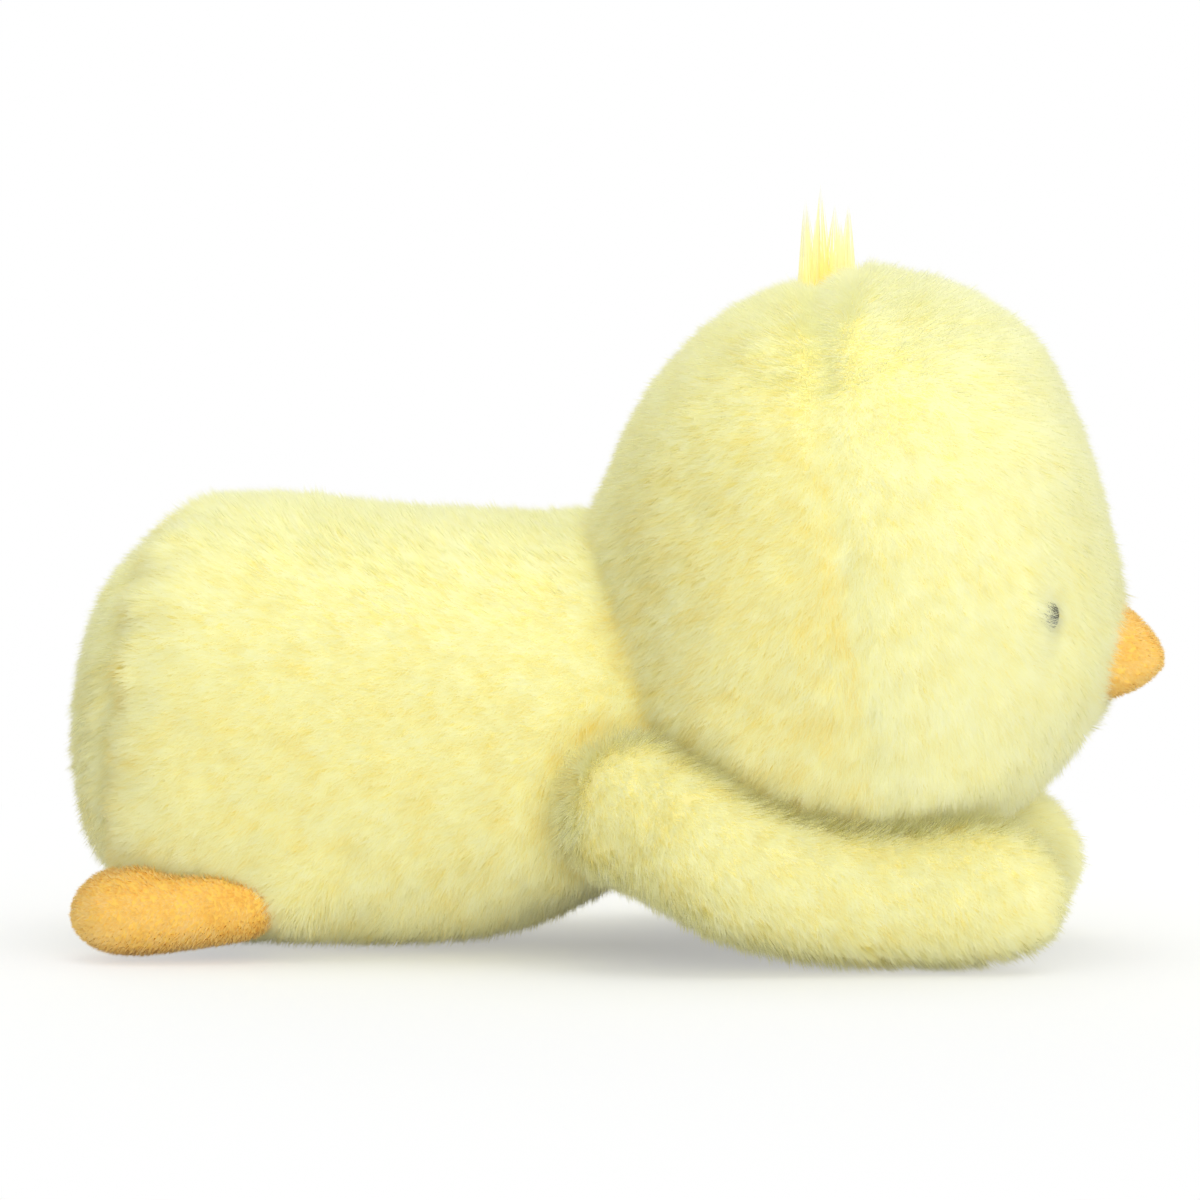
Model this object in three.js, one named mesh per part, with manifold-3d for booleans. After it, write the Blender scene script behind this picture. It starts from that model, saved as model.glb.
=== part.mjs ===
import * as THREE from 'three';
import Module from 'manifold-3d';

// Plush chick lying on its belly. Millimetres, +X from the rump to the beak, +Z up.

// Fits between sewn pieces
const GAP = 0.3;
const SEAM_GAP = 0.3;
const FLOOR_FLAT = 0.5;
const BEYOND = 400;

// Fabrics: yellow plush with its backing, orange plush, and how deep trim sits in the yellow pile
const LONG_PILE = 8;
const SHORT_PILE = 2.5;
const PILE_SINK = 5;

// Body: a barrel with a short round rump, tapering and rising to the neck
const BODY_REAR = -200;
const RUMP_DOME = 61;
const RUMP_ROUND = 2.25;
const CHEST_START = -60;
const CHEST_DOME = 125;
const BODY_HALF_HEIGHT = 83;
const BODY_HALF_WIDTH = 85;
const BODY_TAPER = 0.045;
const RUMP_SAG = 6;
const NECK_RISE = 13;
const NECK_RUN = 60;
const BACK_ROUND = 2.2;
const BELLY_ROUND = 2.7;

// Rump panel: oval seam seen from behind
const RUMP_HALF_WIDTH = 66;
const RUMP_HALF_HEIGHT = 69;
const RUMP_AXIS = 84;
const RUMP_DEPTH = 85;

// Pellet pouch on the belly floor
const POUCH_AT = [-112, 0, 24];
const POUCH_HALF = [50, 42, 17];

// Head: a ball with full jowls that rests on the wings
const CHIN_HEIGHT = 40;
const HEAD_HALF = [95.5, 103, 104];
const HEAD_AT = [88, 0, CHIN_HEIGHT + HEAD_HALF[2]];
const HEAD_ROUND = 2.1;
const CHEEK_ROUND = 2.6;
const JOWL = 6;
const JOWL_WAY = [0.7, 0, -0.714];
const BROW_FLAT = 7.5;
const BROW_WAY = [0.927, 0, 0.375];
const NAPE_SLOPE = 4;
const NAPE_WAY = [-0.7, 0, 0.714];
const HEAD_SEAM_X = 90;
const HEAD_SEAM_TILT = 8;

// Crown tuft: wisps of long pile from one root in the crown seam
const TUFT_LEAN = 6.5;
const TUFT_SINK = 1.8;
const TUFT_HALF = [10.5, 8, 6];
const WISP_RADIUS = 4.8;
const WISP_FOOT = 2;
const WISP_ROOT_X = [-5.5, -2, -1, 2.5, 5.5];
const WISP_ROOT_Y = [0, 3.5, -3.5, 1, -1];
const WISP_TIP_X = [-9, -4, -1.5, 3, 9];
const WISP_TIP_Y = [-1, 6, -6, 1.5, -2];
const WISP_HEIGHT = [25, 26, 28, 25.5, 22.5];

// Beak: rounded cone, drooping a little
const BEAK_ROOT = [160, 0, 112];
const BEAK_TIP = [200, 0, 105];
const BEAK_HALF_WIDTH = 22;
const BEAK_HALF_HEIGHT = 20;
const BEAK_FULL_AT = 0.34;

// Eyes: domed caps on a shank, held by a washer behind the cloth
const EYE_TURN = 41;
const EYE_DROP = 11.5;
const EYE_SINK = 7;
const EYE_RADIUS = 6.5;
const EYE_DOME = 4.8;
const SHANK_RADIUS = 2.5;
const SHANK_LENGTH = 12;
const WASHER_RADIUS = 8;
const WASHER_THICK = 2;

// Wings: stuffed arms folded forward under the chin, left one given
const WING_LINE = [
  [-6, 54, 66],
  [22, 76, 53],
  [49, 76, 37],
  [83, 67, 27],
  [121, 60, 26],
  [166, 56, 29.5],
];
const WING_HALF_WIDTH = 23;
const WING_HALF_HEIGHT = 26;
const WING_ROOT_ROUND = 0.16;
const WING_TIP_ROUND = 0.155;

// Feet: flat teardrops pointing back from the flanks, left one given
const FOOT_LINE = [
  [-112, 56, 24],
  [-136, 63, 21.5],
  [-164, 66, 18.5],
  [-187.5, 67, 15],
];
const FOOT_HALF_WIDTH = 20;
const FOOT_HALF_HEIGHT = 16.5;
const FOOT_ROOT_SLIM = 0.92;
const FOOT_TIP_ROUND = 0.3;

const { lerp, clamp, smoothstep, degToRad } = THREE.MathUtils;
const wasm = await Module();
wasm.setup();

const yellow = new THREE.MeshStandardMaterial({ color: '#fbf5a9', roughness: 0.95, metalness: 0 });
const deepYellow = new THREE.MeshStandardMaterial({ color: '#f8ea78', roughness: 0.95, metalness: 0 });
const orange = new THREE.MeshStandardMaterial({ color: '#fac85f', roughness: 0.9, metalness: 0 });
const fibre = new THREE.MeshStandardMaterial({ color: '#f4f4f0', roughness: 1, metalness: 0 });
const pouchCloth = new THREE.MeshStandardMaterial({ color: '#e6e0d2', roughness: 0.9, metalness: 0 });
const black = new THREE.MeshStandardMaterial({ color: '#0a0908', roughness: 0.12, metalness: 0 });
const washerWhite = new THREE.MeshStandardMaterial({ color: '#e4e4e2', roughness: 0.4, metalness: 0 });

/** Closed soft form: rings of points between two end points, placed by turn (u) and length (v). */
function softForm(around, rings, place) {
  const points = [place(0, 0)];
  for (let ring = 1; ring < rings; ring += 1) {
    for (let step = 0; step < around; step += 1) {
      points.push(place(step / around, ring / rings));
    }
  }
  points.push(place(0, 1));
  const end = points.length - 1;
  const at = (ring, step) => 1 + (ring - 1) * around + (step % around);
  const faces = [];
  for (let step = 0; step < around; step += 1) {
    faces.push(0, at(1, step + 1), at(1, step));
    for (let ring = 1; ring < rings - 1; ring += 1) {
      faces.push(at(ring, step), at(ring, step + 1), at(ring + 1, step + 1));
      faces.push(at(ring, step), at(ring + 1, step + 1), at(ring + 1, step));
    }
    faces.push(end, at(rings - 1, step), at(rings - 1, step + 1));
  }
  const form = new THREE.BufferGeometry().setFromPoints(points);
  form.setIndex(faces);
  return form;
}

/** The same form moved outwards (or inwards, below zero) along its surface. */
function offset(form, distance) {
  const moved = form.clone();
  moved.computeVertexNormals();
  const place = moved.getAttribute('position');
  const normal = moved.getAttribute('normal');
  for (let i = 0; i < place.count; i += 1) {
    const point = new THREE.Vector3().fromBufferAttribute(place, i);
    point.addScaledVector(new THREE.Vector3().fromBufferAttribute(normal, i), distance);
    place.setXYZ(i, point.x, point.y, point.z);
  }
  return moved;
}

/** Lets a form settle until its lowest point is just under the floor. */
function settle(form) {
  form.computeBoundingBox();
  return form.translate(0, 0, -FLOOR_FLAT - form.boundingBox.min.z);
}

/** Closed solid of a geometry, with points at one place joined. */
function solid(geometry) {
  const place = geometry.getAttribute('position');
  const order = geometry.index ? [...geometry.index.array] : [...Array(place.count).keys()];
  const known = new Map();
  const points = [];
  const joined = order.map((i) => {
    const point = [place.getX(i), place.getY(i), place.getZ(i)];
    const key = point.map((value) => Math.round(value * 1e4)).join();
    if (!known.has(key)) {
      known.set(key, known.size);
      points.push(...point);
    }
    return known.get(key);
  });
  const faces = [];
  for (let i = 0; i < joined.length; i += 3) {
    const [a, b, c] = joined.slice(i, i + 3);
    if (a !== b && b !== c && c !== a) {
      faces.push(a, b, c);
    }
  }
  return new wasm.Manifold(new wasm.Mesh({
    numProp: 3,
    vertProperties: Float32Array.from(points),
    triVerts: Uint32Array.from(faces),
  }));
}

/** Radius factor along a form that closes in a round end over the given share of its length. */
function roundEnd(along, share) {
  const left = clamp(1 - along / share, 0, 1);
  return Math.sqrt(1 - left * left);
}

/** Even spacing in v gathered towards both ends, where a form curves most. */
function gathered(v) {
  return 0.5 - 0.5 * Math.cos(Math.PI * v);
}

/** Distance from the centre of a rounded cross-section of unit half-width and half-height. */
function rounded(across, up, power) {
  return (Math.abs(across) ** power + Math.abs(up) ** power) ** (-1 / power);
}

/** Point on the body's surface, from the rump (v = 0) to the chest (v = 1). */
function bodyPoint(u, v) {
  const x = lerp(BODY_REAR, CHEST_START + CHEST_DOME, gathered(v));
  const rump = clamp((BODY_REAR + RUMP_DOME - x) / RUMP_DOME, 0, 1);
  const chest = clamp((x - CHEST_START) / CHEST_DOME, 0, 1);
  const swell = Math.sqrt(1 - rump ** RUMP_ROUND) * Math.sqrt(1 - chest * chest);
  const taper = Math.min(1, 1 - BODY_TAPER * (x - BODY_REAR - RUMP_DOME) / BODY_HALF_HEIGHT);
  const rise = NECK_RISE * Math.max(0, (x - CHEST_START) / NECK_RUN) ** 1.6;
  const across = Math.cos(2 * Math.PI * u);
  const up = Math.sin(2 * Math.PI * u);
  const reach = swell * taper * rounded(across, up, up > 0 ? BACK_ROUND : BELLY_ROUND);
  const z = BODY_HALF_HEIGHT * (taper + reach * up) - RUMP_SAG * rump * rump + rise;
  return new THREE.Vector3(x, BODY_HALF_WIDTH * reach * across, z);
}

/** Distance from the head's centre to its surface along a unit direction. */
function headReach(way) {
  const power = lerp(HEAD_ROUND, CHEEK_ROUND, smoothstep(-way.z, 0, 0.45));
  const [x, y, z] = way.toArray().map((value, i) => Math.abs(value) / HEAD_HALF[i]);
  const section = (y ** power + z ** power) ** (1 / power);
  const ball = (x ** HEAD_ROUND + section ** HEAD_ROUND) ** (-1 / HEAD_ROUND);
  const jowl = smoothstep(way.dot(new THREE.Vector3(...JOWL_WAY)), 0.78, 1);
  const brow = smoothstep(way.dot(new THREE.Vector3(...BROW_WAY)), 0.86, 1);
  const nape = smoothstep(way.dot(new THREE.Vector3(...NAPE_WAY)), 0.7, 1);
  return ball + JOWL * jowl - BROW_FLAT * brow - NAPE_SLOPE * nape;
}

/** Point on the head's surface, from the neck (v = 0) to the beak (v = 1). */
function headPoint(u, v) {
  const wide = Math.sin(Math.PI * v);
  const turn = 2 * Math.PI * u;
  const way = new THREE.Vector3(-Math.cos(Math.PI * v), wide * Math.cos(turn), wide * Math.sin(turn));
  way.normalize();
  return new THREE.Vector3(...HEAD_AT).addScaledVector(way, headReach(way));
}

/** Form swept along a line of points: its half-height faces the given way, its half-width lies across. */
function sweptForm(around, rings, line, halfWidth, halfHeight, swell, facing = [0, 0, 1]) {
  const spine = new THREE.CatmullRomCurve3(line.map((point) => new THREE.Vector3(...point)));
  return softForm(around, rings, (u, v) => {
    const along = gathered(v);
    const ahead = spine.getTangentAt(along);
    const level = new THREE.Vector3(...facing).cross(ahead).normalize();
    const upright = ahead.clone().cross(level);
    const reach = swell(along);
    const point = spine.getPointAt(along);
    point.addScaledVector(level, halfWidth * reach * Math.cos(2 * Math.PI * u));
    return point.addScaledVector(upright, halfHeight * reach * Math.sin(2 * Math.PI * u));
  });
}

/** Ellipsoid about a point. */
function ellipsoid(around, rings, centre, half) {
  return softForm(around, rings, (u, v) => {
    const wide = Math.sin(Math.PI * v);
    return new THREE.Vector3(
      centre[0] - half[0] * Math.cos(Math.PI * v),
      centre[1] + half[1] * wide * Math.cos(2 * Math.PI * u),
      centre[2] + half[2] * wide * Math.sin(2 * Math.PI * u),
    );
  });
}

/** Radius factor of the beak from its root to its tip. */
function beakSwell(along) {
  const cone = clamp((along - BEAK_FULL_AT) / (1 - BEAK_FULL_AT), 0, 1);
  return roundEnd(along, BEAK_FULL_AT) * (1 - cone ** 1.6) ** 0.7;
}

/** Crown tuft: a sewn root with the wisps that rise from it, made fuller by extra. */
function tuftSolid(extra) {
  const lean = degToRad(TUFT_LEAN);
  const way = new THREE.Vector3(-Math.sin(lean), 0, Math.cos(lean));
  const seat = new THREE.Vector3(...HEAD_AT).addScaledVector(way, headReach(way) - TUFT_SINK);
  const root = ellipsoid(8, 5, seat.toArray(), TUFT_HALF.map((half) => half + extra));
  return WISP_HEIGHT.reduce((bundle, height, i) => {
    const line = [
      [seat.x + WISP_ROOT_X[i], WISP_ROOT_Y[i], seat.z - WISP_FOOT],
      [seat.x + WISP_ROOT_X[i], WISP_ROOT_Y[i], seat.z + height * 0.45],
      [seat.x + WISP_TIP_X[i], WISP_TIP_Y[i], seat.z + height],
    ];
    const radius = WISP_RADIUS + extra;
    const slim = (along) => roundEnd(along, 0.15) * (1 - along ** 1.6);
    return bundle.add(solid(sweptForm(6, 5, line, radius, radius, slim, [1, 0, 0])));
  }, solid(root));
}

/** Solid turned about the eye's axis from a half profile, then set in the left side of the face. */
function onEyeAxis(profile) {
  const turn = degToRad(EYE_TURN);
  const drop = degToRad(EYE_DROP);
  const way = new THREE.Vector3(
    Math.cos(drop) * Math.cos(turn),
    Math.cos(drop) * Math.sin(turn),
    -Math.sin(drop),
  );
  const seat = new THREE.Vector3(...HEAD_AT).addScaledVector(way, headReach(way) - EYE_SINK);
  const turned = new THREE.LatheGeometry(profile.map((point) => new THREE.Vector2(...point)), 14);
  turned.applyQuaternion(new THREE.Quaternion().setFromUnitVectors(new THREE.Vector3(0, 1, 0), way));
  return solid(turned.translate(seat.x, seat.y, seat.z));
}

/** Half profile of an eye: shank, flat back and dome. */
function eyeProfile() {
  const profile = [
    [0, -SHANK_LENGTH],
    [SHANK_RADIUS, -SHANK_LENGTH],
    [SHANK_RADIUS, 0],
    [EYE_RADIUS, 0],
    [EYE_RADIUS, 0.8],
  ];
  for (let step = 1; step < 5; step += 1) {
    const turn = step * Math.PI / 10;
    profile.push([EYE_RADIUS * Math.cos(turn), 0.8 + (EYE_DOME - 0.8) * Math.sin(turn)]);
  }
  profile.push([0, EYE_DOME]);
  return profile;
}

/** Half profile of a plain round bar between two heights. */
function barProfile(radius, low, high) {
  return [[0, low], [radius, low], [radius, high], [0, high]];
}

/** Large box standing for one side of a plane: the side its turned +X axis points to. */
function sideOf(x, y, z, tilt) {
  const box = new THREE.BoxGeometry(2 * BEYOND, 2 * BEYOND, 2 * BEYOND).translate(BEYOND, 0, 0);
  return solid(box.rotateY(tilt).translate(x, y, z));
}

const chick = new THREE.Group();
chick.name = 'plush_chick';

/** Adds one named piece to the chick. */
function addPiece(name, shape, look) {
  const { vertProperties, triVerts } = shape.simplify(0.03).getMesh();
  const geometry = new THREE.BufferGeometry();
  geometry.setAttribute('position', new THREE.BufferAttribute(Float32Array.from(vertProperties), 3));
  geometry.setIndex([...triVerts]);
  geometry.computeVertexNormals();
  const mesh = new THREE.Mesh(geometry, look.clone());
  mesh.name = name;
  chick.add(mesh);
}

/** Adds a left piece and its mirror image on the right, each trimmed where it meets its neighbours. */
function addPair(name, shape, look, trim) {
  addPiece(`${name}_left`, trim(shape), look);
  addPiece(`${name}_right`, trim(shape.mirror([0, 1, 0])), look);
}

/** A left solid together with its mirror image on the right. */
function bothSides(shape) {
  return shape.add(shape.mirror([0, 1, 0]));
}

// Outer forms
const bodyForm = settle(softForm(20, 14, bodyPoint));
const headForm = softForm(20, 14, headPoint);
const wingSwell = (along) => roundEnd(along, WING_ROOT_ROUND) * roundEnd(1 - along, WING_TIP_ROUND);
const wingForm = settle(sweptForm(12, 12, WING_LINE, WING_HALF_WIDTH, WING_HALF_HEIGHT, wingSwell));
const footSwell = (along) => {
  const slim = lerp(FOOT_ROOT_SLIM, 1, smoothstep(along, 0.1, 0.75));
  return slim * roundEnd(along, 0.2) * roundEnd(1 - along, FOOT_TIP_ROUND);
};
const footForm = sweptForm(12, 8, FOOT_LINE, FOOT_HALF_WIDTH, FOOT_HALF_HEIGHT, footSwell);
const beakForm = sweptForm(14, 7, [BEAK_ROOT, BEAK_TIP], BEAK_HALF_WIDTH, BEAK_HALF_HEIGHT, beakSwell);

const aboveFloor = sideOf(0, 0, 0, -Math.PI / 2);
const headClear = solid(offset(headForm, GAP));
const bodyClear = solid(offset(bodyForm, GAP));

// Body: tube and rump panel around the stuffing, with the pouch on the belly floor
const bodyShell = solid(bodyForm).intersect(aboveFloor).subtract(solid(offset(bodyForm, -LONG_PILE)));
const rumpCutter = (extra) => {
  const cutter = new THREE.CylinderGeometry(1, 1, RUMP_DEPTH, 22).rotateZ(Math.PI / 2);
  cutter.scale(1, RUMP_HALF_WIDTH + extra, RUMP_HALF_HEIGHT + extra);
  return solid(cutter.translate(BODY_REAR + RUMP_DEPTH / 2 - 10, 0, RUMP_AXIS));
};
addPiece('body_cover', bodyShell.subtract(headClear).subtract(rumpCutter(SEAM_GAP / 2)), yellow);
addPiece('rump_panel', bodyShell.intersect(rumpCutter(-SEAM_GAP / 2)), yellow);
const bodyFill = solid(offset(bodyForm, -LONG_PILE - GAP)).subtract(headClear);
const pouchForm = ellipsoid(14, 7, POUCH_AT, POUCH_HALF);
addPiece('body_stuffing', bodyFill.subtract(solid(offset(pouchForm, GAP))), fibre);
addPiece('pellet_pouch', solid(pouchForm).intersect(bodyFill), pouchCloth);

// Head: face and back halves around the stuffing, with pockets in the pile for the trim
const tuftPocket = tuftSolid(GAP);
const headShell = solid(headForm).subtract(solid(offset(headForm, -LONG_PILE))).subtract(tuftPocket);
const seamTilt = degToRad(HEAD_SEAM_TILT);
const faceSide = sideOf(HEAD_SEAM_X + SEAM_GAP / 2, 0, HEAD_AT[2], -seamTilt);
const backSide = sideOf(HEAD_SEAM_X - SEAM_GAP / 2, 0, HEAD_AT[2], Math.PI - seamTilt);
addPiece('head_back_cover', headShell.intersect(backSide), yellow);
const beakPocket = solid(offset(beakForm, GAP)).subtract(solid(offset(headForm, -PILE_SINK - GAP)));
const washerFront = EYE_SINK - LONG_PILE;
const washerRoom = onEyeAxis(barProfile(WASHER_RADIUS + GAP, -SHANK_LENGTH - GAP, washerFront + GAP));
const socket = onEyeAxis(barProfile(EYE_RADIUS + GAP, -GAP, 3 * EYE_DOME))
  .add(onEyeAxis(barProfile(SHANK_RADIUS + GAP, -SHANK_LENGTH, 1)))
  .add(washerRoom);
addPiece('face_cover', headShell.intersect(faceSide).subtract(beakPocket).subtract(bothSides(socket)), yellow);
const headFill = solid(offset(headForm, -LONG_PILE - GAP));
addPiece('head_stuffing', headFill.subtract(bothSides(washerRoom)), fibre);
addPiece('crown_tuft', tuftSolid(0).subtract(solid(offset(headForm, -PILE_SINK))), deepYellow);

// Beak and eyes
const beakBase = solid(offset(headForm, -PILE_SINK));
const beakCover = solid(beakForm).subtract(solid(offset(beakForm, -SHORT_PILE)));
addPiece('beak_cover', beakCover.subtract(beakBase), orange);
addPiece('beak_stuffing', solid(offset(beakForm, -SHORT_PILE - GAP)).subtract(beakBase), fibre);
const asMade = (shape) => shape;
addPair('eye', onEyeAxis(eyeProfile()), black, asMade);
const washer = onEyeAxis(barProfile(WASHER_RADIUS, washerFront - WASHER_THICK, washerFront))
  .subtract(onEyeAxis(barProfile(SHANK_RADIUS + GAP / 3, -2 * SHANK_LENGTH, 1)));
addPair('eye_washer', washer, washerWhite, asMade);

// Wings and feet: covers open where they are sewn to the body, and their stuffing
const besideBody = (shape) => shape.intersect(aboveFloor).subtract(bodyClear).subtract(headClear);
const wingCover = solid(wingForm).subtract(solid(offset(wingForm, -LONG_PILE)));
addPair('wing_cover', wingCover, yellow, besideBody);
addPair('wing_stuffing', solid(offset(wingForm, -LONG_PILE - GAP)), fibre, besideBody);
const footCover = solid(footForm).subtract(solid(offset(footForm, -SHORT_PILE)));
addPair('foot_cover', footCover, orange, besideBody);
addPair('foot_stuffing', solid(offset(footForm, -SHORT_PILE - GAP)), fibre, besideBody);

export default chick;
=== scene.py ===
"""Plush chick lying on its belly: stuffed skins with sewn seams, pile, crown tuft, beak, feet and eyes."""

import logging
import math
from dataclasses import dataclass
from enum import Enum
from typing import Any, Callable, Sequence

import bmesh
import bpy
import numpy as np
from mathutils import Matrix, Vector, noise
from mathutils.bvhtree import BVHTree


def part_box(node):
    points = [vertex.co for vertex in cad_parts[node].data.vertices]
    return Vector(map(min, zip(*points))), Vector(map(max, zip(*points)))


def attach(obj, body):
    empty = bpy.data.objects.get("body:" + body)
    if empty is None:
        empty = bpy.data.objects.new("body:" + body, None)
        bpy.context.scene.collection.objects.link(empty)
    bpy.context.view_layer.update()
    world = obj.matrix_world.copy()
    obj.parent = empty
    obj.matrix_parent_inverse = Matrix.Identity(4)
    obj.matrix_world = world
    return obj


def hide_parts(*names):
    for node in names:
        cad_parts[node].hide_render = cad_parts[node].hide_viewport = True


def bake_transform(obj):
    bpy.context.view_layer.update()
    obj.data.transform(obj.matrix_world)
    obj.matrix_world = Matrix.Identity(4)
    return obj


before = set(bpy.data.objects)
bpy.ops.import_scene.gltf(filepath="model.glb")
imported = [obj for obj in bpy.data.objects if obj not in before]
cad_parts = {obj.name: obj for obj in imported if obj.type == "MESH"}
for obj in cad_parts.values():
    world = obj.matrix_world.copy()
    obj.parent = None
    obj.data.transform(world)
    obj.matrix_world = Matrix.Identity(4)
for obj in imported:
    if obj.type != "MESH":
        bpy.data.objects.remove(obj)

LOG = logging.getLogger("plush_chick")
MM = 0.001
# Map that the pile's colours are read from: tone across, root to tip upwards
PALETTE_MAP = "OFBake"
PALETTE_EDGE = 0.02
PALETTE_WIDTH = 0.012
# Seed of the vector noise, which otherwise follows the clock
NOISE_SEED = 7
# Points closer than this are one
WELD = 1e-6
# The way the left eye looks, in degrees out from the beak and down
EYE_TURN = 41.0
EYE_DROP = 11.5

Place = tuple[float, float, float]
Array = np.ndarray
Mesh = bpy.types.Mesh
Piece = bpy.types.Object
Material = bpy.types.Material


class Side(Enum):
    """The chick's own left and right."""

    LEFT = 1
    RIGHT = -1

    @property
    def word(self) -> str:
        """The side as it stands in piece names."""
        return self.name.lower()

    def mirror(self, place: Place) -> Place:
        """A place or direction given for the left, on this side."""
        return (place[0], place[1] * self.value, place[2])


class Panel(Enum):
    """Sewn panels of the torso, by the CAD cover that each one stands for."""

    BODY = "body_cover"
    RUMP = "rump_panel"
    HEAD_BACK = "head_back_cover"
    FACE = "face_cover"


def operator(operation: str, swapped: bool = False) -> Callable[["Sock", Any], "Sock"]:
    """Makes an operator of sockets.

    Args:
        operation: what its Math node does.
        swapped: whether the socket comes second.

    Returns:
        The operator, for use as a method.
    """

    def apply(sock: "Sock", other: Any) -> "Sock":
        """Adds the Math node."""
        first, second = (other, sock) if swapped else (sock, other)
        return sock.graph.math(operation, first, second)

    return apply


class Sock:
    """An output socket in a node graph, with arithmetic that adds Math nodes."""

    __add__ = operator("ADD")
    __sub__ = operator("SUBTRACT")
    __rsub__ = operator("SUBTRACT", swapped=True)
    __mul__ = operator("MULTIPLY")
    __pow__ = operator("POWER")

    def __init__(self, graph: "Graph", socket: bpy.types.NodeSocket) -> None:
        """Keeps the socket and its graph."""
        self.graph = graph
        self.socket = socket

    def held(self) -> "Sock":
        """The value held between 0 and 1."""
        return self.graph.math("ADD", self, 0.0, clamp=True)


class Graph:
    """A node tree that grows by expressions."""

    def __init__(self, tree: bpy.types.NodeTree) -> None:
        """Keeps the tree."""
        self.tree = tree

    @staticmethod
    def find(sockets: Sequence[bpy.types.NodeSocket], key: str | int) -> bpy.types.NodeSocket:
        """Picks a socket.

        Args:
            sockets: a node's inputs or outputs.
            key: its number, identifier or name.

        Returns:
            The socket; by name, the first one in use.
        """
        if isinstance(key, int):
            return sockets[key]
        fits = [socket for socket in sockets if socket.enabled and key in (socket.identifier, socket.name)]
        return min(fits, key=lambda socket: socket.identifier != key)

    def add(
        self, kind: str, inputs: dict[str | int, Any] | None = None, output: str | None = None, **settings: Any
    ) -> Sock:
        """Adds one node.

        Args:
            kind: the node's type.
            inputs: values or links of its sockets.
            output: the output to hand back, by default the first in use.
            settings: its properties, set before its sockets.

        Returns:
            That output.
        """
        node = self.tree.nodes.new(kind)
        for key, value in settings.items():
            setattr(node, key, value)
        for key, value in (inputs or {}).items():
            socket = self.find(node.inputs, key)
            if isinstance(value, Sock):
                self.tree.links.new(value.socket, socket)
            else:
                socket.default_value = value
        if not len(node.outputs):
            return Sock(self, node.inputs[0])
        first = next(socket for socket in node.outputs if socket.enabled)
        return Sock(self, first if output is None else self.find(node.outputs, output))

    def math(self, operation: str, first: Any, second: Any, clamp: bool = False) -> Sock:
        """Adds a Math node for two values."""
        return self.add("ShaderNodeMath", {0: first, 1: second}, operation=operation, use_clamp=clamp)

    def vector(self, operation: str, first: Any, second: Any) -> Sock:
        """Adds a Vector Math node for two vectors."""
        return self.add("ShaderNodeVectorMath", {0: first, 1: second}, operation=operation)

    def blend(self, share: Any, first: Any, second: Any) -> Sock:
        """Adds a colour Mix node."""
        inputs = {"Factor_Float": share, "A_Color": first, "B_Color": second}
        return self.add("ShaderNodeMix", inputs, "Result_Color", data_type="RGBA")

    def shown(self, share: Any, first: Sock, second: Sock, output: str) -> None:
        """Mixes two shaders and shows the result by an output node of the given type."""
        surface = self.add("ShaderNodeMixShader", {0: share, 1: first, 2: second})
        self.add(output, {"Surface": surface})


def colour(hexa: str) -> tuple[float, float, float, float]:
    """Linear colour of a screen colour such as fbf5a9."""
    parts = [int(hexa[i : i + 2], 16) / 255 for i in (0, 2, 4)]
    linear = [part / 12.92 if part <= 0.04045 else ((part + 0.055) / 1.055) ** 2.4 for part in parts]
    return (*linear, 1.0)


def new_material(name: str) -> tuple[Material, Graph]:
    """An empty node material and its graph."""
    material = bpy.data.materials.new(name)
    material.use_nodes = True
    material.node_tree.nodes.clear()
    return material, Graph(material.node_tree)


@dataclass(frozen=True)
class PlainFinish:
    """One colour with one roughness, for fillings, backing cloth and plastic."""

    name: str
    shade: str
    roughness: float
    sheen: float = 0.0
    specular: float = 0.5

    def material(self) -> Material:
        """Makes the material."""
        material, graph = new_material(self.name)
        inputs = {
            "Base Color": colour(self.shade),
            "Roughness": self.roughness,
            "Sheen Weight": self.sheen,
            "Specular IOR Level": self.specular,
        }
        surface = graph.add("ShaderNodeBsdfPrincipled", inputs)
        graph.add("ShaderNodeOutputMaterial", {"Surface": surface})
        return material


@dataclass(frozen=True)
class PileFinish:
    """Pile coloured from root to tip, with painted shade and light.

    The darker root is painted shade deep in the pile, which casts no shadow; an amber colour is painted shade
    in creases and seams, and a paler colour painted light on tops and the face panel. The pile's own map holds
    the tone across (0 the amber painted shade, 1 the palest painted light, random tone between) and root to tip
    upwards.
    """

    name: str
    # darker root: painted shade deep in the pile, which casts no shadow
    root: str
    tip: str
    # painted shade: amber colour that low tone blends towards, in creases, seams and at the roots of beak and
    # feet
    crease: str
    # painted light: paler colour that high tone blends towards, on cloth facing up and on the face panel;
    # random tone reaches it too
    pale: str
    glow: str
    lets_through: float
    sheen: float
    tip_share: float = 0.8

    def material(self) -> Material:
        """Makes the material."""
        material, graph = new_material(self.name)
        place = graph.add("ShaderNodeUVMap", uv_map=PALETTE_MAP)
        tone = graph.add("ShaderNodeSeparateXYZ", {0: place}, "X")
        along = graph.add("ShaderNodeSeparateXYZ", {0: place}, "Y")
        # the darker root colour is painted shade deep in the pile
        strand = graph.blend(along**self.tip_share, colour(self.root), colour(self.tip))
        # painted shade: low tone blends towards the amber shade colour
        strand = graph.blend((1.0 - tone * 2.0).held(), strand, colour(self.crease))
        # painted light: high tone blends towards the paler colour
        strand = graph.blend((tone * 2.0 - 1.0).held(), strand, colour(self.pale))
        inputs = {
            "Base Color": strand,
            "Roughness": 0.85,
            "Sheen Weight": self.sheen,
            "Sheen Roughness": 0.5,
            "Specular IOR Level": 0.15,
        }
        lit = graph.add("ShaderNodeBsdfPrincipled", inputs)
        through = graph.add("ShaderNodeBsdfTranslucent", {"Color": colour(self.glow)})
        graph.shown(self.lets_through, lit, through, "ShaderNodeOutputMaterial")
        return material


# root, tip, amber shade, pale, glow: the darker root and the amber colour are painted shade, the pale colour
# painted light
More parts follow.
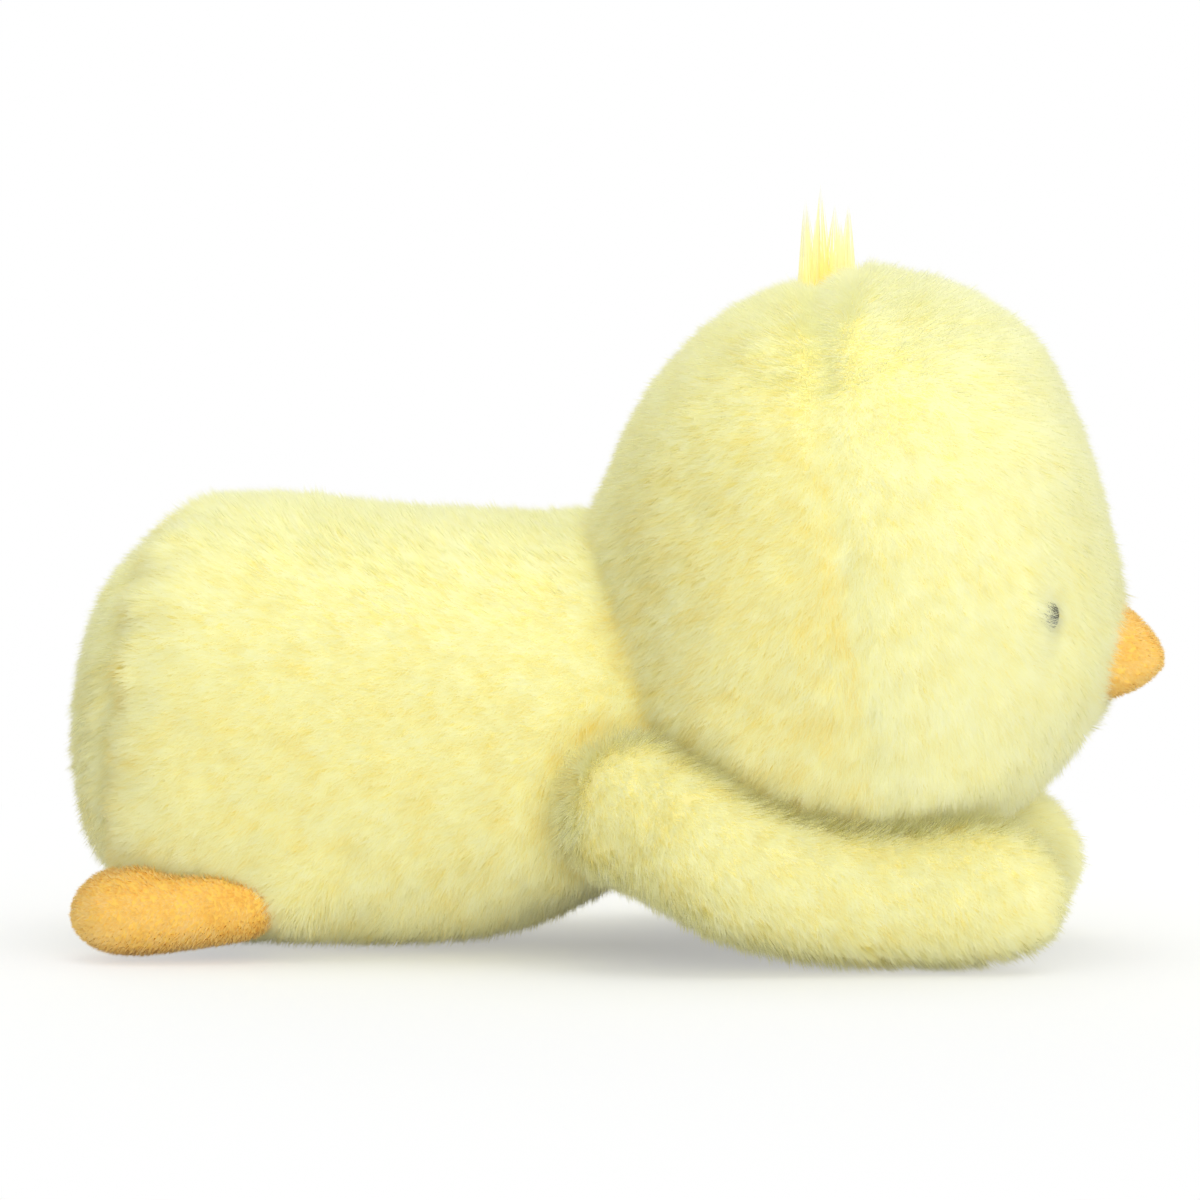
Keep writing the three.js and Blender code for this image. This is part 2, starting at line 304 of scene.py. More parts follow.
YELLOW_PILE = PileFinish("yellow_pile", "ebe08a", "f7f9da", "f1d364", "f9fbec", "f6f4c4", 0.45, 0.2)
TUFT_PILE = PileFinish("tuft_strands", "f2dc4c", "eeedcf", "f0d446", "f6f5e2", "eeeab6", 0.4, 0.15)
ORANGE_PILE = PileFinish("orange_pile", "f3ce66", "f5da80", "e6a446", "f8e6aa", "f4ce6e", 0.3, 0.2)
# yellow backing cloth, darkened as painted shade for the depth of the pile seen between its fibres
YELLOW_BACKING_PAINTED_SHADE = PlainFinish("yellow_backing", "e6dea2", 0.95, 0.1, 0.1)
ORANGE_BACKING = PlainFinish("orange_backing", "f3ce66", 0.95, 0.1, 0.1)
FIBRE_FILL = PlainFinish("fibre_fill", "f4f4f0", 1.0, 0.2, 0.1)
POUCH_CLOTH = PlainFinish("pouch_cloth", "e6e0d2", 0.9, 0.1, 0.2)
WASHER_PLASTIC = PlainFinish("washer_plastic", "e4e4e2", 0.4)
EYE_PLASTIC = PlainFinish("eye_plastic", "0a0908", 0.15, 0.0, 0.3)


def read(items: Any, key: str, width: int = 1, kind: type = np.float32) -> Array:
    """Reads one value, or a row of values, from each item of a Blender collection.

    Args:
        items: the collection.
        key: name of the value.
        width: values in a row.
        kind: the numbers' type.

    Returns:
        The values, as rows where there are several for each item.
    """
    flat = np.empty(len(items) * width, kind)
    items.foreach_get(key, flat)
    return flat.reshape(-1, width) if width > 1 else flat


def points_of(mesh: Mesh) -> Array:
    """Places of a mesh's points, one row each."""
    return read(mesh.vertices, "co", 3).astype(float)


def normals_of(mesh: Mesh) -> Array:
    """Outward directions at a mesh's points, one row each."""
    return read(mesh.vertex_normals, "vector", 3).astype(float)


def face_middles(mesh: Mesh) -> Array:
    """Middle of each face, one row each."""
    return read(mesh.polygons, "center", 3).astype(float)


def edges_of(mesh: Mesh) -> Array:
    """Ends of a mesh's edges, one row each."""
    return read(mesh.edges, "vertices", 2, np.int32)


def corners_of(mesh: Mesh) -> Array:
    """The point at each corner of a mesh's faces."""
    return read(mesh.loops, "vertex_index", 1, np.int32)


def move_points(mesh: Mesh, points: Array) -> None:
    """Sets the places of a mesh's points."""
    mesh.vertices.foreach_set("co", points.astype(np.float32).ravel())
    mesh.update()


def unit(rows: Array) -> Array:
    """Each row at length 1."""
    return rows / np.maximum(np.linalg.norm(rows, axis=1, keepdims=True), 1e-12)


def relax(points: Array, edges: Array, times: int) -> Array:
    """Evens out a surface by moving each point towards the middle of its neighbours.

    Args:
        points: places, one row each.
        edges: ends of the edges.
        times: number of rounds.

    Returns:
        The new places.
    """
    ends = np.concatenate([edges, edges[:, ::-1]])
    count = np.bincount(ends[:, 0], minlength=len(points))[:, None]
    for _ in range(times):
        pull = [np.bincount(ends[:, 0], points[ends[:, 1], axis], len(points)) for axis in range(3)]
        points = points + 0.5 * (np.stack(pull, 1) / count - points)
    return points


def link(name: str, mesh: Mesh) -> Piece:
    """Puts a mesh into the scene as a named object."""
    piece = bpy.data.objects.new(name, mesh)
    bpy.context.scene.collection.objects.link(piece)
    return piece


def drop(piece: Piece) -> None:
    """Removes a helper object."""
    bpy.data.objects.remove(piece, do_unlink=True)


def settle_modifiers(piece: Piece) -> None:
    """Turns a piece with its modifiers into a plain mesh."""
    known = bpy.context.evaluated_depsgraph_get()
    mesh = bpy.data.meshes.new_from_object(piece.evaluated_get(known))
    piece.modifiers.clear()
    piece.data = mesh


class Solid:
    """The surface of one or more CAD nodes, for distances."""

    def __init__(self, *nodes: str) -> None:
        """Gathers the nodes' triangles."""
        points: list[Vector] = []
        faces: list[list[int]] = []
        for node in nodes:
            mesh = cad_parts[node].data
            start = len(points)
            points += [vertex.co.copy() for vertex in mesh.vertices]
            faces += [[start + i for i in face.vertices] for face in mesh.polygons]
        self.tree = BVHTree.FromPolygons(points, faces)

    def distance(self, points: Array) -> Array:
        """Distance from each point to the surface."""
        return np.array([self.tree.find_nearest(Vector(point))[3] for point in points])


@dataclass(frozen=True)
class Cloth:
    """How a skin is grown: its mesh size, rounds of evening, depth below the pile's tips and most swelling."""

    voxel: float
    rounds: int
    inset: float
    swell: float


@dataclass
class Cushion:
    """A closed stuffed skin grown from CAD solids, a little inside them so that the pile fills the rest."""

    name: str
    nodes: tuple[str, ...]
    cloth: Cloth
    seam_hold: float = 6 * MM
    pressure: float = 4.0
    frames: int = 20
    puff_rounds: int = 4

    def build(self, seams: Sequence[Solid] = ()) -> Piece:
        """Makes the skin.

        Args:
            seams: the panels' solids; the cloth is held where two of them meet.

        Returns:
            The skin, a plain closed mesh.
        """
        form = bmesh.new()
        for node in self.nodes:
            form.from_mesh(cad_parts[node].data)
        bmesh.ops.remove_doubles(form, verts=form.verts, dist=WELD)
        mesh = bpy.data.meshes.new(self.name)
        form.to_mesh(mesh)
        form.free()
        piece = link(self.name, mesh)
        remesh = piece.modifiers.new("even", "REMESH")
        remesh.mode = "VOXEL"
        remesh.voxel_size = self.cloth.voxel
        settle_modifiers(piece)
        edges = edges_of(piece.data)
        points = relax(points_of(piece.data), edges, self.cloth.rounds)
        move_points(piece.data, points)
        move_points(piece.data, points - normals_of(piece.data) * self.cloth.inset)
        held = np.zeros(len(points), bool)
        if seams:
            held = seam_distance(points, seams) < self.seam_hold
        self.puff(piece, held)
        divide = piece.modifiers.new("fine", "SUBSURF")
        divide.levels = divide.render_levels = 1
        settle_modifiers(piece)
        piece.data.shade_smooth()
        return piece

    def puff(self, piece: Piece, held: Array) -> None:
        """Lets the stuffing press the cloth out between its seams.

        Args:
            piece: the skin.
            held: which of its points the seams hold.
        """
        scene = bpy.context.scene
        start = points_of(piece.data)
        group = piece.vertex_groups.new(name="seams")
        group.add(np.flatnonzero(held).tolist(), 1.0, "REPLACE")
        cloth = piece.modifiers.new("puff", "CLOTH")
        cloth.settings.use_pressure = True
        cloth.settings.uniform_pressure_force = self.pressure
        cloth.settings.effector_weights.gravity = 0
        cloth.settings.vertex_group_mass = "seams"
        cloth.point_cache.frame_start = 1
        cloth.point_cache.frame_end = self.frames
        for step in range(1, self.frames + 1):
            scene.frame_set(step)
        settle_modifiers(piece)
        scene.frame_set(1)
        piece.vertex_groups.clear()
        way = points_of(piece.data) - start
        far = np.linalg.norm(way, axis=1, keepdims=True)
        way *= np.minimum(1.0, self.cloth.swell / np.maximum(far, WELD * MM))
        move_points(piece.data, start + relax(way, edges_of(piece.data), self.puff_rounds))


def seam_distance(points: Array, panels: Sequence[Solid]) -> Array:
    """Distance along the cloth to the nearest line where two panels meet.

    Args:
        points: places on the cloth.
        panels: the panels' solids.

    Returns:
        One distance for each point.
    """
    away = np.sort(np.stack([panel.distance(points) for panel in panels], 1), axis=1)
    return np.sqrt(np.maximum(away[:, 1] ** 2 - away[:, 0] ** 2, 0))


@dataclass
class Nap:
    """What the pile follows at each point of a skin."""

    comb: Array
    outward: Array
    thick: Array
    pile: Array
    tone: Array

    def store(self, mesh: Mesh, keep: Array) -> None:
        """Writes the values of the kept points on a mesh of those points."""
        for name, rows in vars(self).items():
            kind, key = ("FLOAT", "value") if rows.ndim == 1 else ("FLOAT_VECTOR", "vector")
            data = mesh.attributes.new(name, kind, "POINT").data
            data.foreach_set(key, rows[keep].astype(np.float32).ravel())


def ribbon(start: int, steps: int) -> list[tuple[int, ...]]:
    """Faces of a strip of points in pairs that ends in one point.

    Args:
        start: number of its first point.
        steps: number of pairs with the end point.

    Returns:
        The faces, each by its points' numbers.
    """
    last = start + 2 * (steps - 2)
    return [(a, a + 2, a + 3, a + 1) for a in range(start, last, 2)] + [(last, last + 2, last + 1)]


@dataclass(frozen=True)
class Yarn:
    """One kind of pile: tufts of flat tapering fibres that rise steeply and bend over.

    Angles are in degrees above the skin, the fan and roll in radians.
    """

    name: str
    fibres: int
    length: float
    width: float
    rise: float
    lie: float
    fan: float
    roll: float
    foot: float
    per_mm2: float
    steps: tuple[float, ...] = (0.0, 1.0)
    shade_spread: float = 0.22
    length_spread: tuple[float, float] = (0.75, 1.15)
    angle_spread: float = 12.0
    taper: float = 1.5
    seed: int = 40

    def tuft(self, number: int) -> Piece:
        """Makes one tuft that stands on the origin and bends towards +X.

        Args:
            number: which of the different tufts, also its seed.

        Returns:
            The tuft as a helper object.
        """
        random = np.random.default_rng(self.seed + number)
        points: list[Place] = []
        faces: list[tuple[int, ...]] = []
        marks: list[Place] = []
        for _ in range(self.fibres):
            own = random.uniform(-self.shade_spread, self.shade_spread)
            turn = random.uniform(-self.fan, self.fan)
            root = random.normal(0, self.foot, 2)
            length = self.length * random.uniform(*self.length_spread)
            rise, lie = (
                math.radians(angle + random.uniform(-self.angle_spread, self.angle_spread))
                for angle in (self.rise, self.lie)
            )
            ahead = np.array([math.cos(turn), math.sin(turn), 0.0])
            level = np.array([-math.sin(turn), math.cos(turn), 0.0])
            slope = (rise + lie) / 2
            above = np.array([0.0, 0.0, math.cos(slope)]) - ahead * math.sin(slope)
            roll = random.uniform(-self.roll, self.roll)
            beside = level * math.cos(roll) + above * math.sin(roll)
            start = len(points)
            for step in self.steps:
                slope = (rise + lie) / 2 + (rise - lie) / 2 * (1 - step)
                middle = ahead * math.cos(slope) * step * length
                middle = middle + np.array([root[0], root[1], math.sin(slope) * step * length])
                half = 0.5 * self.width * (1 - step**self.taper)
                for end in (-1.0, 1.0) if step < 1 else (0.0,):
                    points.append(tuple(middle + beside * half * end))
                    marks.append((step, end, own))
            faces += ribbon(start, len(self.steps))
        mesh = bpy.data.meshes.new(f"{self.name}_tuft_{number}")
        mesh.from_pydata(points, [], faces)
        for name, values in zip(("along", "across", "shade"), zip(*marks)):
            mesh.attributes.new(name, "FLOAT", "POINT").data.foreach_set("value", values)
        piece = link(mesh.name, mesh)
        piece.hide_render = True
        return piece


LONG_YARN = Yarn("long", 12, 7.8 * MM, 0.42 * MM, 58, 36, 0.6, 0.9, 1.0 * MM, 0.34)
SHORT_YARN = Yarn("short", 4, 2.6 * MM, 0.42 * MM, 62, 34, 1.2, 0.9, 0.5 * MM, 1.0)


class PileGrower:
    """Grows one kind of yarn over skins by one node tree."""

    TUFTS = 3
    FLECK, FLECK_SIZE = 0.65, 7 * MM
    WAVE_SIZE, RUFFLE, RUFFLE_SIZE = 26 * MM, 0.5, 6 * MM
    TONE_SPREAD = 0.1
    LEAN_SPREAD, TURN_SPREAD = 0.16, 0.4
    SIZE_SPREAD = (0.85, 1.15)

    def __init__(self, yarn: Yarn, finish: PileFinish) -> None:
        """Makes the tufts, the material and the tree."""
        self.yarn = yarn
        self.material = finish.material()
        self.tufts = [yarn.tuft(number) for number in range(self.TUFTS)]
        self.tree = self.grow_tree()

    def grow_tree(self) -> bpy.types.NodeTree:
        """Builds the tree: points on the skin, a tuft on each, turned along the combing.

        Returns:
            The tree, with named inputs for its sizes.
        """
        tree = bpy.data.node_groups.new(f"{self.yarn.name}_pile", "GeometryNodeTree")
        sockets = (
            ("Geometry", "NodeSocketGeometry"),
            ("Tufts per area", "NodeSocketFloat"),
            ("Wave", "NodeSocketFloat"),
            ("Ruffle", "NodeSocketFloat"),
            ("Seed", "NodeSocketInt"),
            *[(f"Tuft {number}", "NodeSocketObject") for number in range(1, self.TUFTS + 1)],
            ("Finish", "NodeSocketMaterial"),
        )
        for name, kind in sockets:
            tree.interface.new_socket(name, in_out="INPUT", socket_type=kind)
        tree.interface.new_socket("Geometry", in_out="OUTPUT", socket_type="NodeSocketGeometry")
        graph = Graph(tree)
        given = tree.nodes.new("NodeGroupInput")
        take = {socket.name: Sock(graph, socket) for socket in given.outputs if socket.name}

        def stored(name: str, kind: str) -> Sock:
            """A value that the skin holds."""
            return graph.add("GeometryNodeInputNamedAttribute", {"Name": name}, data_type=kind)

        def spread(low: float, high: float, shift: int) -> Sock:
            """A random number for each tuft."""
            inputs = {"Min_001": low, "Max_001": high, "Seed": take["Seed"] + float(shift)}
            return graph.add("FunctionNodeRandomValue", inputs, "Value_001", data_type="FLOAT")

        def waves(size: float, output: str | None = None) -> Sock:
            """Noise over the skin with waves of the given size."""
            inputs = {"Vector": graph.add("GeometryNodeInputPosition"), "Scale": 1 / size, "Detail": 1.0}
            return graph.add("ShaderNodeTexNoise", inputs, output)

        def drift(size: float, share: Sock) -> Sock:
            """A wandering direction with waves of the given size."""
            level = graph.vector("SUBTRACT", waves(size, "Color"), (0.5, 0.5, 0.5))
            return graph.add("ShaderNodeVectorMath", {0: level, "Scale": share}, operation="SCALE")

        density = take["Tufts per area"] * stored("thick", "FLOAT")
        inputs = {"Mesh": take["Geometry"], "Density": density, "Seed": take["Seed"]}
        spots = graph.add("GeometryNodeDistributePointsOnFaces", inputs, "Points")
        fleck = waves(self.FLECK_SIZE) - 0.5
        own = spread(-self.TONE_SPREAD, self.TONE_SPREAD, 1)
        tone = stored("tone", "FLOAT") + own + fleck * self.FLECK
        inputs = {"Geometry": spots, "Name": "tuft_tone", "Value": tone}
        spots = graph.add("GeometryNodeStoreNamedAttribute", inputs, data_type="FLOAT", domain="POINT")
        comb = graph.vector("ADD", stored("comb", "FLOAT_VECTOR"), drift(self.WAVE_SIZE, take["Wave"]))
        comb = graph.vector("ADD", comb, drift(self.RUFFLE_SIZE, take["Ruffle"]))
        inputs = {"Primary Axis": stored("outward", "FLOAT_VECTOR"), "Secondary Axis": comb}
        stand = graph.add("FunctionNodeAxesToRotation", inputs, primary_axis="Z", secondary_axis="X")
        limits = {"X": self.LEAN_SPREAD, "Y": self.LEAN_SPREAD, "Z": self.TURN_SPREAD}
        parts = {axis: spread(-limit, limit, 2 + order) for order, (axis, limit) in enumerate(limits.items())}
        nudge = graph.add("ShaderNodeCombineXYZ", parts)
        nudge = graph.add("FunctionNodeEulerToRotation", {0: nudge})
        stand = graph.add("FunctionNodeRotateRotation", {0: stand, 1: nudge}, rotation_space="LOCAL")
        size = stored("pile", "FLOAT") * spread(*self.SIZE_SPREAD, 5)
        size = graph.add("ShaderNodeCombineXYZ", {"X": size, "Y": 1.0, "Z": size})
        bundle = tree.nodes.new("GeometryNodeJoinGeometry")
        for number in range(self.TUFTS, 0, -1):
            inputs = {"Object": take[f"Tuft {number}"], "As Instance": True}
            tuft = graph.add("GeometryNodeObjectInfo", inputs, "Geometry")
            tree.links.new(tuft.socket, bundle.inputs[0])
        inputs = {"Min_002": 0, "Max_002": self.TUFTS - 1, "Seed": take["Seed"] + 9.0}
        which = graph.add("FunctionNodeRandomValue", inputs, "Value_002", data_type="INT")
        inputs = {
            "Points": spots,
            "Instance": Sock(graph, bundle.outputs[0]),
            "Pick Instance": True,
            "Instance Index": which,
            "Rotation": stand,
            "Scale": size,
        }
        pile = graph.add("GeometryNodeInstanceOnPoints", inputs)
        pile = graph.add("GeometryNodeRealizeInstances", {"Geometry": pile})
        pile = graph.add("GeometryNodeSetMaterial", {"Geometry": pile, "Material": take["Finish"]})
        done = tree.nodes.new("NodeGroupOutput")
        tree.links.new(pile.socket, done.inputs[0])
        return tree

    def grow(self, name: str, mesh: Mesh, faces: Array, nap: "Nap", seed: int, wave: float) -> Piece:
        """Grows the pile on one stretch of skin.

        Args:
            name: the new piece's name.
            mesh: the whole skin.
            faces: numbers of the faces that the pile grows on.
            nap: what the pile follows.
            seed: seed of the random spread.
            wave: how far the combing wanders over some centimetres.

        Returns:
            The pile, a plain mesh.
        """
        piece = link(name, stretch(mesh, faces, name, nap))
        pile = piece.modifiers.new("pile", "NODES")
        pile.node_group = self.tree
        values = {
            "Tufts per area": self.yarn.per_mm2 / MM**2,
            "Wave": wave,
            "Ruffle": self.RUFFLE,
            "Seed": seed,
            "Finish": self.material,
        }
        values |= {f"Tuft {number}": tuft for number, tuft in enumerate(self.tufts, 1)}
        for item in self.tree.interface.items_tree:
            if item.in_out == "INPUT" and item.name in values:
                pile[item.identifier] = values[item.name]
        settle_modifiers(piece)
        finish_pile(piece.data)
        piece.visible_shadow = False
        triangles = sum(len(face.vertices) - 2 for face in piece.data.polygons)
        LOG.info("%s: %d triangles", name, triangles)
        return piece

    def close(self) -> None:
        """Removes the helper tufts."""
        for tuft in self.tufts:
            drop(tuft)


# Pile keeps this far above the floor, and takes this share of its shading from the skin under it
PILE_ABOVE_FLOOR = 0.2 * MM
SKIN_LIGHT = 0.7


def finish_pile(mesh: Mesh) -> None:
    """Keeps pile above the floor, lights it by the skin under it and maps tone and root to tip."""
    names = ("along", "across", "shade", "tuft_tone")
    stored = {name: read(mesh.attributes[name].data, "value") for name in names}
    outward = read(mesh.attributes["outward"].data, "vector", 3)
    points = points_of(mesh)
    own = normals_of(mesh)
    points[:, 2] = np.maximum(points[:, 2], PILE_ABOVE_FLOOR)
    move_points(mesh, points)
    tone = np.clip(stored["tuft_tone"] + stored["shade"], PALETTE_EDGE, 1 - PALETTE_EDGE)
    tone = tone + PALETTE_WIDTH * stored["across"]
    places = np.stack([tone, PALETTE_EDGE + (1 - 2 * PALETTE_EDGE) * stored["along"]], 1)
    layer = mesh.uv_layers.new(name=PALETTE_MAP)
    layer.data.foreach_set("uv", places[corners_of(mesh)].astype(np.float32).ravel())
    facing = unit(SKIN_LIGHT * outward + (1 - SKIN_LIGHT) * own)
    mesh.shade_smooth()
    mesh.normals_split_custom_set_from_vertices(facing.tolist())
    for name in (*stored, "outward", "comb", "thick", "pile", "tone"):
        if name in mesh.attributes:
            mesh.attributes.remove(mesh.attributes[name])


def stretch(mesh: Mesh, faces: Array, name: str, nap: Nap | None = None) -> Mesh:
    """Copies part of a skin.

    Args:
        mesh: the whole skin, of four-cornered faces.
        faces: numbers of the faces to copy.
        name: the new mesh's name.
        nap: what its pile follows, kept on the copy.

    Returns:
        The copied part.
    """
    starts = read(mesh.polygons, "loop_start", 1, np.int32)
    rows = corners_of(mesh)[starts[faces][:, None] + np.arange(4)]
    keep, rows = np.unique(rows, return_inverse=True)
    part = bpy.data.meshes.new(name)
    part.from_pydata(points_of(mesh)[keep].tolist(), [], rows.reshape(-1, 4).tolist())
    part.shade_smooth()
    if nap is not None:
        nap.store(part, keep)
    return part


def falloff(distance: Array, reach: float) -> Array:
    """1 at distance 0, fading out over the reach."""
    return np.exp(-((distance / reach) ** 2))


def lumps(points: Array, size: float) -> Array:
    """Soft unevenness between -1 and 1, with waves of the given size."""
    return np.array([noise.noise(Vector(point) / size) for point in points])


def clumped(outward: Array, points: Array, share: Array, size: float) -> Array:
    """Outward directions tilted in clumps of the given size, as pile stands on cloth."""
    tilt = np.array([noise.noise_vector(Vector(point) / size) for point in points])
    return unit(outward + share[:, None] * tilt)


@dataclass(frozen=True)
class Fade:
    """A change that is strongest at a line or place and fades out around it."""

    most: float
    reach: float

    def at(self, distance: Array) -> Array:
        """How strong it is at a distance."""
        return self.most * falloff(distance, self.reach)


# How far cloth swells against a neighbour, and which share of the wedge beside it the cloth fills
PRESS = Fade(2.2 * MM, 5 * MM)
WEDGE = Fade(0.66, 15 * MM)
# Cloth that faces down this far and is this near the floor has a thinner pile
FLOOR_FACING = -0.8
FLOOR_NEAR = 12 * MM
FLOOR_THICK = 0.4
# Size of the clumps that the pile stands in
CLUMP = 8 * MM


def pressed(gap: Array) -> Array:
    """How far soft cloth fills the gap to a neighbour that it leans on."""
    return PRESS.at(gap) + gap * WEDGE.at(gap)


def gap_to(points: Array, leeway: float, *nodes: str) -> Array:
    """Gap to CAD nodes beside the cloth, 0 within the leeway."""
    return np.maximum(Solid(*nodes).distance(points) - leeway, 0)


def thickness(points: Array, outward: Array) -> Array:
    """Share of the pile's density, less where the cloth lies on the floor."""
    resting = (outward[:, 2] < FLOOR_FACING) & (points[:, 2] < FLOOR_NEAR)
    return np.where(resting, FLOOR_THICK, 1.0)


def ramp(values: Array, start: float, end: float) -> Array:
    """0 up to the start, rising evenly to 1 at the end."""
    return np.clip((values - start) / (end - start), 0, 1)


def length(rows: Array) -> Array:
    """Length of each row."""
    return np.linalg.norm(rows, axis=1)


def middle_of(node: str) -> Array:
    """Middle of a CAD node's box."""
    return np.mean([np.array(corner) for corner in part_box(node)], 0)


def eye_axis(side: Side) -> tuple[Array, Array]:
    """The top of a CAD eye's dome, and the way that the eye looks."""
    turn, drop = math.radians(EYE_TURN) * side.value, math.radians(EYE_DROP)
    way = np.array((math.cos(drop) * math.cos(turn), math.cos(drop) * math.sin(turn), -math.sin(drop)))
    known = points_of(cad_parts[f"eye_{side.word}"].data)
    return known[(known @ way).argmax()], way


def along_skin(way: Array, outward: Array) -> Array:
    """The part of each direction that lies along the skin, at length 1."""
    return unit(way - outward * (way * outward).sum(1, keepdims=True))


class Layout:
    """Where points of the torso lie among its panels, and how far along the cloth from its seams."""

    WING_LEEWAY = 5 * MM
    FOOT_ROOT = (-0.106, 0.066, 0.024)
    FOOT_REACH = 16 * MM

    def __init__(self, points: Array) -> None:
        """Measures the points against the four covers."""
        away = np.stack([Solid(panel.value).distance(points) for panel in Panel], 1)
        body, rump, back, face = (away**2).T
        self.points = points
        self.nearest = away.argmin(1)
        self.behind_rump = away[:, 0] > away[:, 1]
        self.ahead_of_face = away[:, 3] < away[:, 2]
        self.rump = np.sqrt(np.abs(body - rump))
        self.face = np.sqrt(np.abs(back - face))
        self.neck = np.sqrt(np.abs(np.minimum(body, rump) - np.minimum(back, face)))
        self.wing = gap_to(points, self.WING_LEEWAY, *[f"wing_cover_{side.word}" for side in Side])

    def on(self, *panels: Panel) -> Array:
        """Which points lie on one of the panels."""
        return np.isin(self.nearest, [list(Panel).index(panel) for panel in panels])

    def tuft_root(self, reach: float) -> Array:
        """1 at the root of the crown tuft, fading out over the reach."""
        low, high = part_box("crown_tuft")
        return falloff(length(self.points - ((low[0] + high[0]) / 2, 0.0, low[2])), reach)

    def foot_root(self) -> Array:
        """1 where the cloth folds over the foot roots, fading out around them."""
        folded = np.stack([self.points[:, 0], np.abs(self.points[:, 1]), self.points[:, 2]], 1)
        return falloff(length(folded - self.FOOT_ROOT), self.FOOT_REACH)


@dataclass
class Relief:
    """How deep the torso's cloth is drawn in at its seams and eyes, and how far it is filled out elsewhere."""

    face_groove: Fade = Fade(1.2 * MM, 5 * MM)
    neck_groove: Fade = Fade(3 * MM, 5 * MM)
    crown_heights: tuple[float, float] = (190 * MM, 230 * MM)
    crown_groove: Fade = Fade(2.6 * MM, 6 * MM)
    crown_side: float = 0.3
    crown_reach: float = 26 * MM
    crown_rise: Fade = Fade(2.6 * MM, 9 * MM)
    crown_rise_ahead: float = 13 * MM
    rump_groove: Fade = Fade(3.2 * MM, 11 * MM)
    rump_lip: float = 0.58
    lip_reach: float = 5 * MM
    folds: Fade = Fade(1.7 * MM, 13 * MM)
    fold_count: int = 17
    fold_drift: float = 3.0
    fold_drift_size: float = 30 * MM
    fold_upper: float = 0.35
    lump: float = 1 * MM
    lump_size: float = 34 * MM
    foot_fold: float = 9 * MM
    muzzle: Fade = Fade(2.2 * MM, 34 * MM)
    eye_dent: Fade = Fade(1.6 * MM, 14 * MM)
    eye_back: float = 6 * MM
    cheek: Fade = Fade(4.6 * MM, 7 * MM)
    cheek_ring: float = 11 * MM

    def apply(self, mesh: Mesh) -> None:
        """Moves the skin's points in or out."""
        points = points_of(mesh)
        where = Layout(points)
        depth = self.face_groove.at(where.face) + self.neck_groove.at(where.neck)
        depth += self.crown(where) + self.rump(where)
        depth += self.lump * lumps(points, self.lump_size)
        depth -= pressed(where.wing)
        depth -= self.foot_fold * where.foot_root()
        depth -= self.muzzle.at(length(points - middle_of("beak_cover")))
        for side in Side:
            way = middle_of(f"eye_{side.word}") - points
            back = ramp(way[:, 0], 0, self.eye_back)
            depth += self.eye_dent.at(length(way)) * (1 - back)
            depth -= self.cheek.at(length(way) - self.cheek_ring) * back
        points -= normals_of(mesh) * depth[:, None]
        move_points(mesh, points)

    def crown(self, where: Layout) -> Array:
        """The groove of the face seam on the crown, deepest at the tuft, and the rise ahead of it."""
        share = self.crown_side + (1 - self.crown_side) * where.tuft_root(self.crown_reach)
        rise = where.ahead_of_face * self.crown_rise.at(where.face - self.crown_rise_ahead)
        return ramp(where.points[:, 2], *self.crown_heights) * (self.crown_groove.at(where.face) * share - rise)

    def rump(self, where: Layout) -> Array:
        """The rump seam, with a lip on its outer side and folds across it."""
        lip = np.tanh(np.where(where.behind_rump, where.rump, -where.rump) / self.lip_reach)
        turn = np.arctan2(where.points[:, 2] - middle_of("rump_panel")[2], where.points[:, 1])
        drift = self.fold_drift * lumps(where.points, self.fold_drift_size)
        folds = np.sin(self.fold_count * turn + drift) * (1 - self.fold_upper + self.fold_upper * np.sin(turn))
        groove = self.rump_groove.at(where.rump) * (1 - self.rump_lip + self.rump_lip * lip)
        return groove + self.folds.at(where.rump) * folds


